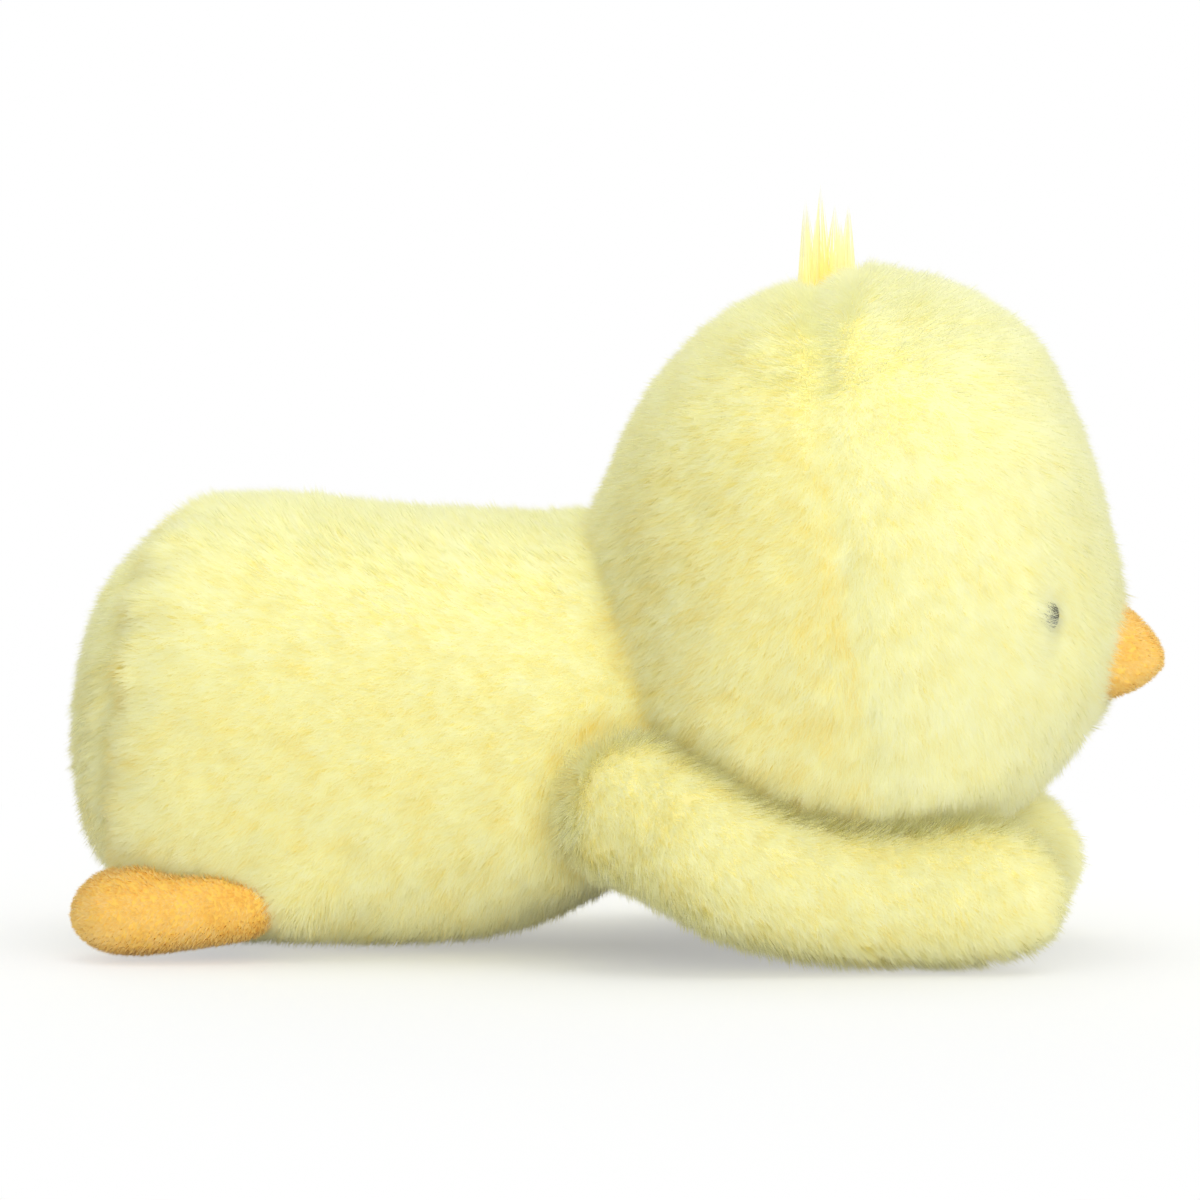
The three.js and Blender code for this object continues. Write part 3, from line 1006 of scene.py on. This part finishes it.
@dataclass
class TorsoNap:
    """Combing, density, length and tone of the torso's pile, with painted shade in its seams, creases and crown
    and painted light on tops and the face panel.
    """

    flows: tuple[Place, ...] = ((-0.85, 0, -0.5), (-0.5, 0, -0.85), (-0.5, 0, -0.85), (0.35, 0, -0.95))
    seam_flow: Place = (-0.08, 0, -0.9)
    seam_comb: Fade = Fade(1.0, 9 * MM)
    seam_thick: float = 0.5
    under_flow: Place = (-0.5, 0, -0.85)
    under_facing: tuple[float, float] = (0.3, 0.8)
    tone: float = 0.52
    # painted light: paler tone on cloth that faces up
    tone_up: float = 0.28
    # painted light on the face panel and painted shade on the head's back panel, as their nap faces the light
    tone_face: float = 0.14
    tone_back: float = -0.04
    # painted shade: darker tone in the rump, face and neck seams, in the creases against the wings and in the
    # crown's valley
    tone_rump: Fade = Fade(-0.16, 4 * MM)
    tone_seam: Fade = Fade(-0.04, 5 * MM)
    tone_neck: Fade = Fade(-0.16, 3 * MM)
    tone_wing: Fade = Fade(-0.24, 1.6 * MM)
    tone_wing_gap: float = 2.5 * MM
    pile_rump: Fade = Fade(-0.2, 6 * MM)
    pile_neck: Fade = Fade(0.15, 8 * MM)
    pile_wing: Fade = Fade(0.4, 7 * MM)
    pile_foot: float = 0.2
    wisps: Fade = Fade(1.0, 12 * MM)
    wisp_heights: tuple[float, float] = (130 * MM, 80 * MM)
    pile_wisps: float = 0.2
    clumps: float = 0.2
    clumps_wisps: float = 0.3
    eye_behind: Fade = Fade(1.0, 15 * MM)
    eye_comb: float = 2.5
    pile_eye: float = 0.75
    eye_bare: float = 6 * MM
    eye_bare_depth: float = 15 * MM
    crown_reach: float = 9 * MM
    pile_crown: float = -0.3
    # painted shade in the crown's valley at the tuft
    tone_crown: float = -0.2
    beak_from: float = 140 * MM
    beak_ring: float = 23 * MM
    beak_side: Fade = Fade(1.0, 6 * MM)
    beak_comb: float = 2.0
    pile_beak: float = 0.25
    beak_seat: float = 15 * MM
    seat_thick: float = 0.05

    def over(self, mesh: Mesh) -> Nap:
        """Works out what the pile follows over the whole skin."""
        points, outward = points_of(mesh), normals_of(mesh)
        where = Layout(points)
        seam = self.seam_comb.at(where.face) * where.on(Panel.HEAD_BACK, Panel.FACE)
        flow = np.array(self.flows)[where.nearest]
        flow = flow + seam[:, None] * (self.seam_flow - flow)
        under = ramp(-outward[:, 2], *self.under_facing)[:, None]
        comb = along_skin(flow + under * (self.under_flow - flow), outward)
        # painted shade in the rump and face seams
        tone = self.tone + self.tone_rump.at(where.rump) + self.tone_seam.at(where.face)
        # painted shade at the neck seam, and painted light on cloth that faces up
        tone += self.tone_neck.at(where.neck) + self.tone_up * np.clip(outward[:, 2], 0, 1)
        # painted light on the face panel, painted shade on the head's back panel
        tone += self.tone_face * where.on(Panel.FACE) + self.tone_back * where.on(Panel.HEAD_BACK)
        # painted shade in the creases against the wings
        tone += self.tone_wing.at(where.wing - self.tone_wing_gap)
        wisps = self.wisps.at(where.face) * ramp(points[:, 2], *self.wisp_heights)
        pile = 1 + self.pile_rump.at(where.rump) + self.pile_neck.at(where.neck) + self.pile_wing.at(where.wing)
        pile += self.pile_wisps * wisps + self.pile_foot * where.foot_root()
        crown = where.tuft_root(self.crown_reach)
        clumps = clumped(outward, points, self.clumps + self.clumps_wisps * wisps, CLUMP)
        thick = thickness(points, outward) + self.seam_thick * seam
        # painted shade in the crown's valley at the tuft
        nap = Nap(comb, clumps, thick, pile + self.pile_crown * crown, tone + self.tone_crown * crown)
        for side in Side:
            self.at_eye(nap, points, outward, side)
        self.at_beak(nap, points, outward)
        return nap

    def at_eye(self, nap: Nap, points: Array, outward: Array, side: Side) -> None:
        """Combs longer pile over an eye from behind, and leaves its seat bare."""
        way = middle_of(f"eye_{side.word}") - points
        behind = self.eye_behind.at(length(way)) * (way[:, 0] > 0)
        nap.comb = unit(nap.comb + along_skin(way, outward) * self.eye_comb * behind[:, None])
        nap.pile = nap.pile + self.pile_eye * behind
        top, axis = eye_axis(side)
        out = (points - top) @ axis
        aside = length(points - top - out[:, None] * axis)
        bare = (aside < self.eye_bare) & (np.abs(out) < self.eye_bare_depth)
        nap.thick = np.where(bare, 0.0, nap.thick)

    def at_beak(self, nap: Nap, points: Array, outward: Array) -> None:
        """Combs longer pile towards the beak all round, and thins it in the beak's seat."""
        way = (middle_of("beak_cover") - points) * (0, 1, 1)
        front = points[:, 0] > self.beak_from
        ring = self.beak_side.at(length(way) - self.beak_ring) * front
        nap.comb = unit(nap.comb + along_skin(way, outward) * self.beak_comb * ring[:, None])
        nap.pile = nap.pile + self.pile_beak * ring
        nap.thick = np.where((length(way) < self.beak_seat) & front, self.seat_thick, nap.thick)


@dataclass
class Torso:
    """Body and head in one run of cloth, in four sewn panels, with pile."""

    cloth: Cloth = Cloth(4.5 * MM, 24, 4.3 * MM, 2.5 * MM)
    neck_start: Place = (-0.035, 0.0, 0.095)
    neck_end: Place = (0.02, 0.0, 0.115)
    wave: float = 0.8
    seed_step: int = 10

    def build(self, yellow: PileGrower, backing: Material) -> None:
        """Makes the skin, splits it along its seams and grows the pile."""
        nodes = [panel.value for panel in Panel] + ["body_stuffing", "pellet_pouch", "head_stuffing"]
        nodes += [f"{part}_{side.word}" for part in ("eye", "eye_washer") for side in Side]
        piece = Cushion("torso_skin", tuple(nodes), self.cloth).build([Solid(panel.value) for panel in Panel])
        mesh = piece.data
        Relief().apply(mesh)
        middles = face_middles(mesh)
        where = Layout(middles)
        nap = TorsoNap().over(mesh)
        for number, panel in enumerate(Panel):
            name = panel.value.replace("_cover", "").replace("_panel", "")
            skin = link(f"{name}_skin", stretch(mesh, np.flatnonzero(where.on(panel)), f"{name}_skin"))
            skin.data.materials.append(backing)
            self.dress(skin, panel)
            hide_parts(panel.value)
            halves = [("pile", np.ones(len(middles), bool))]
            if panel is not Panel.RUMP:
                halves = [(f"pile_{side.word}", middles[:, 1] * side.value > 0) for side in Side]
            for order, (half, chosen) in enumerate(halves):
                faces = np.flatnonzero(where.on(panel) & chosen)
                seed = self.seed_step * number + order
                pile = yellow.grow(f"{name}_{half}", mesh, faces, nap, seed, self.wave)
                self.dress(pile, panel)
        drop(piece)

    def dress(self, piece: Piece, panel: Panel) -> None:
        """Ties a piece to the body or the head, or leaves it unparented with its transform applied."""
        if panel is Panel.RUMP:
            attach(piece, "body")
        elif panel is Panel.FACE:
            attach(piece, "head")
        else:
            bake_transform(piece)


@dataclass
class Wing:
    """A stuffed wing folded forward under the chin, with its places given for the left."""

    side: Side
    cloth: Cloth = Cloth(3.5 * MM, 14, 3 * MM, 1.5 * MM)
    leeway: float = 4 * MM
    tip: Place = (0.175, 0.06, 0.026)
    tip_rise: Fade = Fade(3 * MM, 26 * MM)
    root: Place = (-0.012, 0.07, 0.05)
    free: Place = (0.07, 0.08, 0.043)
    flow: Place = (0.75, 0.3, -0.6)
    clumps: float = 0.12
    pile: float = 0.88
    pile_gap: Fade = Fade(0.4, 7 * MM)
    tone: float = 0.6
    # painted shade in the creases against the head and body
    tone_crease: Fade = Fade(-0.26, 1.8 * MM)
    crease_gap: float = 2.5 * MM
    wave: float = 0.6
    seed: int = 60

    def build(self, yellow: PileGrower, backing: Material) -> None:
        """Makes the skin and grows the pile."""
        word = self.side.word
        nodes = (f"wing_cover_{word}", f"wing_stuffing_{word}")
        skin = Cushion(f"wing_skin_{word}", nodes, self.cloth).build()
        mesh = skin.data
        mesh.materials.append(backing)
        points = points_of(mesh)
        gap = gap_to(points, self.leeway, "body_cover", "head_back_cover", "face_cover")
        swell = pressed(gap) + self.tip_rise.at(length(points - self.side.mirror(self.tip)))
        points = points + normals_of(mesh) * swell[:, None]
        move_points(mesh, points)
        outward = normals_of(mesh)
        comb = along_skin(np.broadcast_to(self.side.mirror(self.flow), points.shape), outward)
        clumps = clumped(outward, points, np.full(len(points), self.clumps), CLUMP)
        pile = self.pile + self.pile_gap.at(gap)
        # painted shade in the creases against the head and body
        tone = self.tone + self.tone_crease.at(gap - self.crease_gap)
        nap = Nap(comb, clumps, thickness(points, outward), pile, tone)
        faces = np.arange(len(mesh.polygons))
        pile = yellow.grow(f"wing_pile_{word}", mesh, faces, nap, self.seed + self.side.value, self.wave)
        for piece in (skin, pile):
            ends = [self.side.mirror(place) for place in (self.root, self.free)]
            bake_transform(piece)
        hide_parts(*nodes)


@dataclass
class ShortPiece:
    """A stuffed piece in short orange pile: a foot or the beak."""

    name: str
    nodes: tuple[str, str]
    body: str
    flow: Place
    root: Place
    free: Place
    seed: int
    cloth: Cloth
    wave: float = 0.5
    # painted shade: darker tone at the root, where the piece meets the body or head, rising towards the free
    # end
    tones: tuple[float, float] = (0.3, 0.55)

    @classmethod
    def foot(cls, side: Side) -> "ShortPiece":
        """The foot on one side."""
        name, nodes = f"foot_{side.word}", (f"foot_cover_{side.word}", f"foot_stuffing_{side.word}")
        places = ((-0.9, 0.2, -0.3), (-0.112, 0.06, 0.022), (-0.142, 0.064, 0.02))
        flow, root, free = (side.mirror(place) for place in places)
        cloth = Cloth(2.6 * MM, 5, 0.2 * MM, 0.8 * MM)
        return cls(name, nodes, name, flow, root, free, 70 + side.value, cloth)

    @classmethod
    def beak(cls) -> "ShortPiece":
        """The beak."""
        places = ((0.8, 0.0, -0.5), (0.17, 0.0, 0.11), (0.185, 0.0, 0.107))
        cloth = Cloth(2.6 * MM, 5, 1.5 * MM, 0.8 * MM)
        return cls("beak", ("beak_cover", "beak_stuffing"), "head", *places, 80, cloth)

    def build(self, orange: PileGrower, backing: Material) -> None:
        """Makes the skin and grows the pile, with painted shade: deeper in colour at the root, where the piece
        meets the body or head.
        """
        skin = Cushion(f"{self.name}_skin", self.nodes, self.cloth).build()
        mesh = skin.data
        mesh.materials.append(backing)
        points, outward = points_of(mesh), normals_of(mesh)
        comb = along_skin(np.broadcast_to(self.flow, points.shape), outward)
        root, free = np.array(self.root), np.array(self.free)
        along = np.clip(((points - root) @ (free - root)) / ((free - root) @ (free - root)), 0, 1)
        even = np.ones(len(points))
        nap = Nap(comb, outward, even, even, self.tones[0] + (self.tones[1] - self.tones[0]) * along)
        faces = np.arange(len(mesh.polygons))
        pile = orange.grow(f"{self.name}_pile", mesh, faces, nap, self.seed, self.wave)
        for piece in (skin, pile):
            if self.body == "head":
                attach(piece, self.body)
            else:
                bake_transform(piece)
        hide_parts(*self.nodes)


@dataclass
class CrownTuft:
    """Wisps of long pile that rise from the crown seam.

    A wisp is given by its tip: ahead, to the left and up from the root, in millimetres. Every second
    strand is a short one at the foot.
    """

    root: Place = (0.0765, 0.0, 0.2365)
    spread: float = 4.6 * MM
    strands: int = 900
    width: float = 0.4 * MM
    wisps: tuple[Place, ...] = (
        (-7.8, -1, 36),
        (-4.4, 3, 29),
        (-2.2, -2.5, 40),
        (2.6, 1.5, 33),
        (5.0, -2, 27),
        (7.6, 0.5, 33),
    )
    steps: tuple[float, ...] = (0.0, 0.25, 0.5, 0.75, 1.0)
    seed: int = 11
    long: tuple[float, float] = (0.4, 1.0)
    long_bias: float = 0.7
    short: tuple[float, float] = (0.15, 0.4)
    tones: tuple[float, float] = (0.44, 0.6)
    lean: float = 0.15
    gather: float = 0.8
    deep_share: float = 0.12
    pale_bias: float = 0.55
    pale_side: float = 18 * MM

    def build(self, finish: PileFinish) -> None:
        """Draws the strands, gathered into pointed wisps."""
        random = np.random.default_rng(self.seed)
        points: list[Place] = []
        faces: list[tuple[int, ...]] = []
        places: list[tuple[float, float]] = []
        for number in range(self.strands):
            tip = np.array(self.wisps[number // 2 % len(self.wisps)]) * MM
            angle = random.uniform(0, math.tau)
            far = self.spread * math.sqrt(random.uniform(0, 1))
            foot = np.array([math.cos(angle), math.sin(angle)]) * far
            share = random.uniform(*self.long) ** self.long_bias if number % 2 else random.uniform(*self.short)
            turn = random.uniform(0, math.tau)
            beside = np.array([math.cos(turn), math.sin(turn), 0.0]) * self.width / 2
            tone = random.uniform(*self.tones)
            faces += ribbon(len(points), len(self.steps))
            for step in self.steps:
                high = share * step
                across = tip[:2] * (1 - self.lean + self.lean * high) + foot * (1 - high) ** self.gather
                middle = np.array([*across, tip[2] * high]) + self.root
                pale = max(high - self.deep_share, 0) ** self.pale_bias + abs(across[0]) / self.pale_side
                for side in (-1, 1) if step < 1 else (0,):
                    points.append(tuple(middle + beside * side * (1 - step**2)))
                    places.append((tone + PALETTE_WIDTH * side, min(1 - PALETTE_EDGE, PALETTE_EDGE + pale)))
        mesh = bpy.data.meshes.new("crown_tuft_strands")
        mesh.from_pydata(points, [], faces)
        layer = mesh.uv_layers.new(name=PALETTE_MAP)
        layer.data.foreach_set("uv", np.array(places, np.float32)[corners_of(mesh)].ravel())
        mesh.materials.append(finish.material())
        mesh.shade_smooth()
        piece = link("crown_tuft_strands", mesh)
        piece.visible_shadow = False
        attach(piece, "head")
        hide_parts("crown_tuft")


@dataclass
class Eye:
    """A domed safety eye on its shank."""

    side: Side
    radius: float = 6.5 * MM
    dome: float = 4.8 * MM
    rim: float = 0.8 * MM
    shank: float = 2.5 * MM
    shank_length: float = 12 * MM
    edge: float = 0.2 * MM
    dome_steps: int = 12
    turn_steps: int = 40

    def build(self, finish: Material) -> None:
        """Turns the eye about its axis, where the CAD eye stands."""
        top, way = (Vector(row) for row in eye_axis(self.side))
        profile = [(0.0, -self.shank_length), (self.shank, -self.shank_length), (self.shank, 0.0)]
        profile += [(self.radius - self.edge, 0.0), (self.radius, self.edge)]
        for step in range(self.dome_steps):
            angle = step * math.pi / (2 * self.dome_steps)
            high = self.rim + (self.dome - self.rim) * math.sin(angle)
            profile.append((self.radius * math.cos(angle), high))
        profile.append((0.0, self.dome))
        form = bmesh.new()
        line = [form.verts.new((across, 0, high)) for across, high in profile]
        edges = [form.edges.new(pair) for pair in zip(line, line[1:])]
        way_up, middle = (0, 0, 1), (0, 0, 0)
        bmesh.ops.spin(
            form, geom=line + edges, axis=way_up, cent=middle, steps=self.turn_steps, angle=math.tau
        )
        bmesh.ops.remove_doubles(form, verts=form.verts, dist=WELD)
        bmesh.ops.recalc_face_normals(form, faces=form.faces)
        stand = Vector(way_up).rotation_difference(way).to_matrix().to_4x4()
        form.transform(Matrix.Translation(top - way * self.dome) @ stand)
        mesh = bpy.data.meshes.new(f"eye_dome_{self.side.word}")
        form.to_mesh(mesh)
        form.free()
        mesh.materials.append(finish)
        mesh.shade_smooth()
        piece = link(mesh.name, mesh)
        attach(piece, "head")
        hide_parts(f"eye_{self.side.word}")


class Filling:
    """Pieces inside the skins, kept as the CAD solids."""

    FINISHES = {
        "fibre_fill": ("body_stuffing", "head_stuffing"),
        "pouch_cloth": ("pellet_pouch",),
        "washer_plastic": ("eye_washer",),
    }

    def dress(self, finishes: dict[str, Material]) -> None:
        """Gives each inner solid its finish."""
        for slot, starts in self.FINISHES.items():
            for name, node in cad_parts.items():
                if name.startswith(starts):
                    node.data.materials.clear()
                    node.data.materials.append(finishes[slot])


@dataclass(frozen=True)
class Lamp:
    """A soft lamp that faces the chick, with its power in watts."""

    name: str
    place: Place
    wide: float
    high: float
    power: float
    aim: Place = (0.0, 0.0, 0.1)

    def build(self) -> None:
        """Adds the lamp."""
        light = bpy.data.lights.new(self.name, "AREA")
        light.shape = "RECTANGLE"
        light.size = self.wide
        light.size_y = self.high
        light.energy = self.power
        lamp = bpy.data.objects.new(self.name, light)
        lamp.location = self.place
        lamp.rotation_euler = (Vector(self.place) - Vector(self.aim)).to_track_quat("Z", "Y").to_euler()
        bpy.context.scene.collection.objects.link(lamp)


@dataclass
class Studio:
    """Pale floor, soft light and the camera."""

    target: Place = (-0.006, 0.0, 0.1255)
    azimuth: float = 7.5
    elevation: float = 4.0
    distance: float = 2.0
    lens: float = 165.0
    sensor: float = 36.0
    lamps: tuple[Lamp, ...] = (
        Lamp("key", (1.9, -1.8, 0.5), 1.6, 0.9, 15.0),
        Lamp("fill", (0.1, -2.4, 0.2), 2.0, 0.38, 14.5),
        Lamp("back", (-0.7, 2.3, 0.8), 1.8, 1.2, 22),
        Lamp("top", (0.3, 0.0, 2.2), 1.6, 1.6, 16),
    )
    sky: tuple[float, ...] = (0.97, 1, 0.98, 1)
    sky_strength: float = 0.69
    white: tuple[float, ...] = (1, 1, 1, 1)
    floor_shade: tuple[float, ...] = (0.93, 0.93, 0.93, 1)
    floor_half: float = 9.0
    fade_start: float = 0.3
    fade_rate: float = 1.3

    def build(self) -> None:
        """Sets up the floor, the lamps, the world and the camera."""
        bpy.context.scene.view_settings.view_transform = "Standard"
        self.floor()
        for lamp in self.lamps:
            lamp.build()
        self.world()
        self.camera()

    def world(self) -> None:
        """Lights the scene softly all round, before a white background."""
        world = bpy.data.worlds.new("studio")
        bpy.context.scene.world = world
        world.use_nodes = True
        world.node_tree.nodes.clear()
        graph = Graph(world.node_tree)
        seen = graph.add("ShaderNodeLightPath", output="Is Camera Ray")
        soft = graph.add("ShaderNodeBackground", {"Color": self.sky, "Strength": self.sky_strength})
        white = graph.add("ShaderNodeBackground", {"Color": self.white, "Strength": 1.0})
        graph.shown(seen, soft, white, "ShaderNodeOutputWorld")

    def camera(self) -> None:
        """Sets up the camera on the photograph's side."""
        camera = bpy.data.objects.new("camera", bpy.data.cameras.new("camera"))
        bpy.context.scene.collection.objects.link(camera)
        camera.data.lens = self.lens
        camera.data.sensor_width = self.sensor
        turn, rise = math.radians(self.azimuth), math.radians(self.elevation)
        way = Vector((math.sin(turn) * math.cos(rise), -math.cos(turn) * math.cos(rise), math.sin(rise)))
        camera.location = Vector(self.target) + way * self.distance
        camera.rotation_euler = way.to_track_quat("Z", "Y").to_euler()
        bpy.context.scene.camera = camera

    def floor(self) -> None:
        """Lays the floor, which fades into the white background."""
        material, graph = new_material("pale_floor")
        place = graph.add("ShaderNodeTexCoord", output="Object")
        far = graph.add("ShaderNodeVectorMath", {0: place}, "Value", operation="LENGTH")
        fade = (far * self.fade_rate + self.fade_start).held()
        seen = graph.add("ShaderNodeLightPath", output="Is Camera Ray")
        lit = graph.add("ShaderNodeBsdfDiffuse", {"Color": self.floor_shade})
        white = graph.add("ShaderNodeEmission", {"Color": self.white, "Strength": 1.0})
        graph.shown(fade * seen, lit, white, "ShaderNodeOutputMaterial")
        mesh = bpy.data.meshes.new("floor")
        half = self.floor_half
        corners = [(-half, -half, 0), (half, -half, 0), (half, half, 0), (-half, half, 0)]
        mesh.from_pydata(corners, [], [(0, 1, 2, 3)])
        mesh.materials.append(material)
        link("floor", mesh)


def main() -> None:
    """Builds the chick piece by piece, then the studio."""
    logging.basicConfig(level=logging.INFO, format="%(message)s")
    noise.seed_set(NOISE_SEED)
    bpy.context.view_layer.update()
    yellow = PileGrower(LONG_YARN, YELLOW_PILE)
    orange = PileGrower(SHORT_YARN, ORANGE_PILE)
    yellow_backing = YELLOW_BACKING_PAINTED_SHADE.material()
    orange_backing = ORANGE_BACKING.material()
    Torso().build(yellow, yellow_backing)
    for side in Side:
        Wing(side).build(yellow, yellow_backing)
        ShortPiece.foot(side).build(orange, orange_backing)
    ShortPiece.beak().build(orange, orange_backing)
    CrownTuft().build(TUFT_PILE)
    eye = EYE_PLASTIC.material()
    for side in Side:
        Eye(side).build(eye)
    finishes = (FIBRE_FILL, POUCH_CLOTH, WASHER_PLASTIC)
    Filling().dress({finish.name: finish.material() for finish in finishes})
    yellow.close()
    orange.close()
    Studio().build()


if __name__ == "__main__":
    main()
